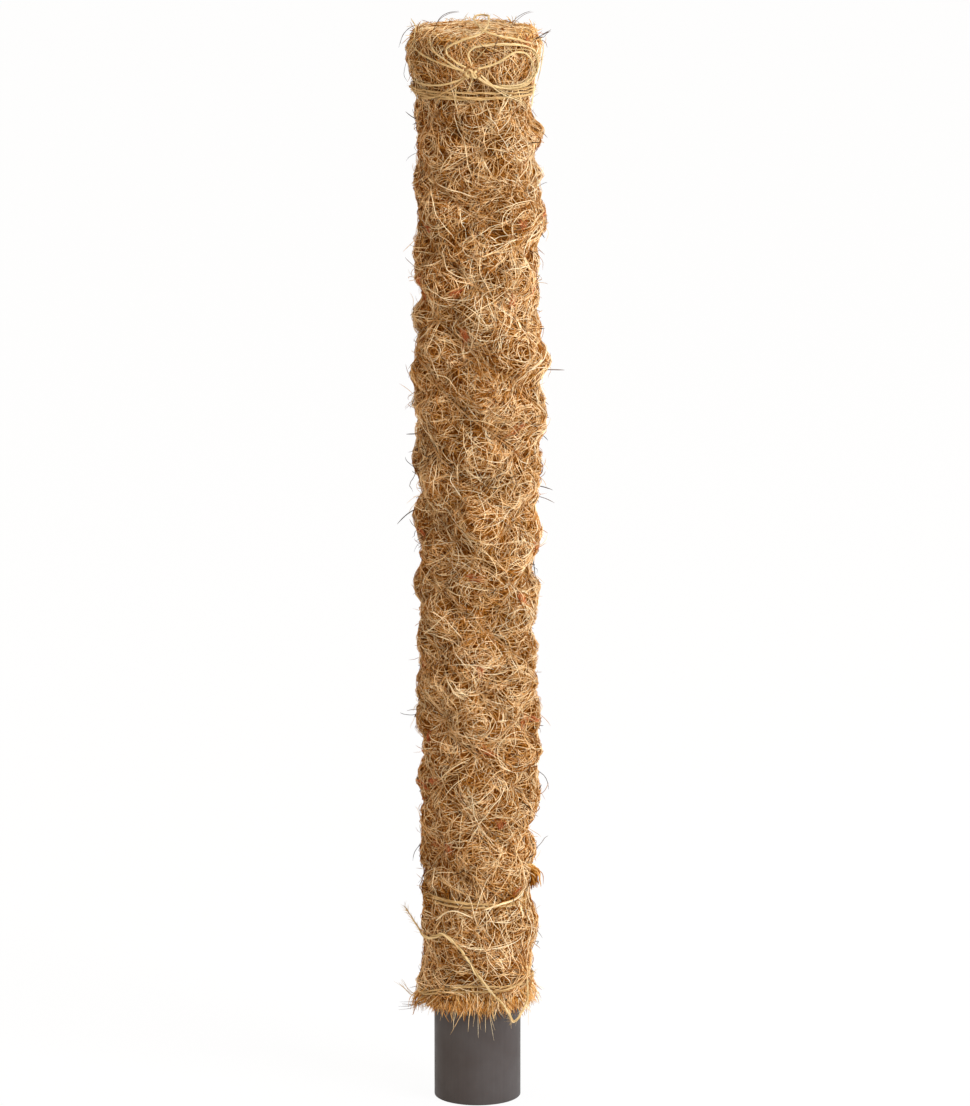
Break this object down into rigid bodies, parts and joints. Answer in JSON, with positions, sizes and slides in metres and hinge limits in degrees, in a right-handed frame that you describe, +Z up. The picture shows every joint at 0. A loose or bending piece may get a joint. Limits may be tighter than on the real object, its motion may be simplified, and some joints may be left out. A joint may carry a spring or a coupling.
{
  "type": "moss pole",
  "caption": "Upright plant support: a plastic pipe in a quilted coir sleeve, lashed with thread and tied with twine in a bow, its lower end bare to push into a pot.",
  "frame": {"origin": "centre of the pipe's lower end, where the pole stands", "axes": "+Z up along the pipe; -Y is the front, with the bow; +X is to the right seen from the front"},
  "size_m": [0.0641, 0.0621, 0.5057],
  "materials": {
    "pipe": "dark warm grey extruded plastic, satin",
    "coir": "loose golden brown coconut fibre",
    "thread": "thin tan lashing thread",
    "twine": "straw coloured twisted plant-fibre twine"
  },
  "bodies": {
    "root": {"core_pipe": "pipe", "coir_mat": "coir", "coir_top_pad": "coir", "binding_thread": "thread", "top_tie": "twine", "middle_tie": "twine", "bottom_tie": "twine", "top_knot": "twine", "middle_knot": "twine", "bottom_knot": "twine", "bow_loop_right": "twine", "bow_loop_left": "twine", "bow_tail_top": "twine", "bow_tail_right": "twine", "bottom_tail": "twine"}
  },
  "joints": []
}
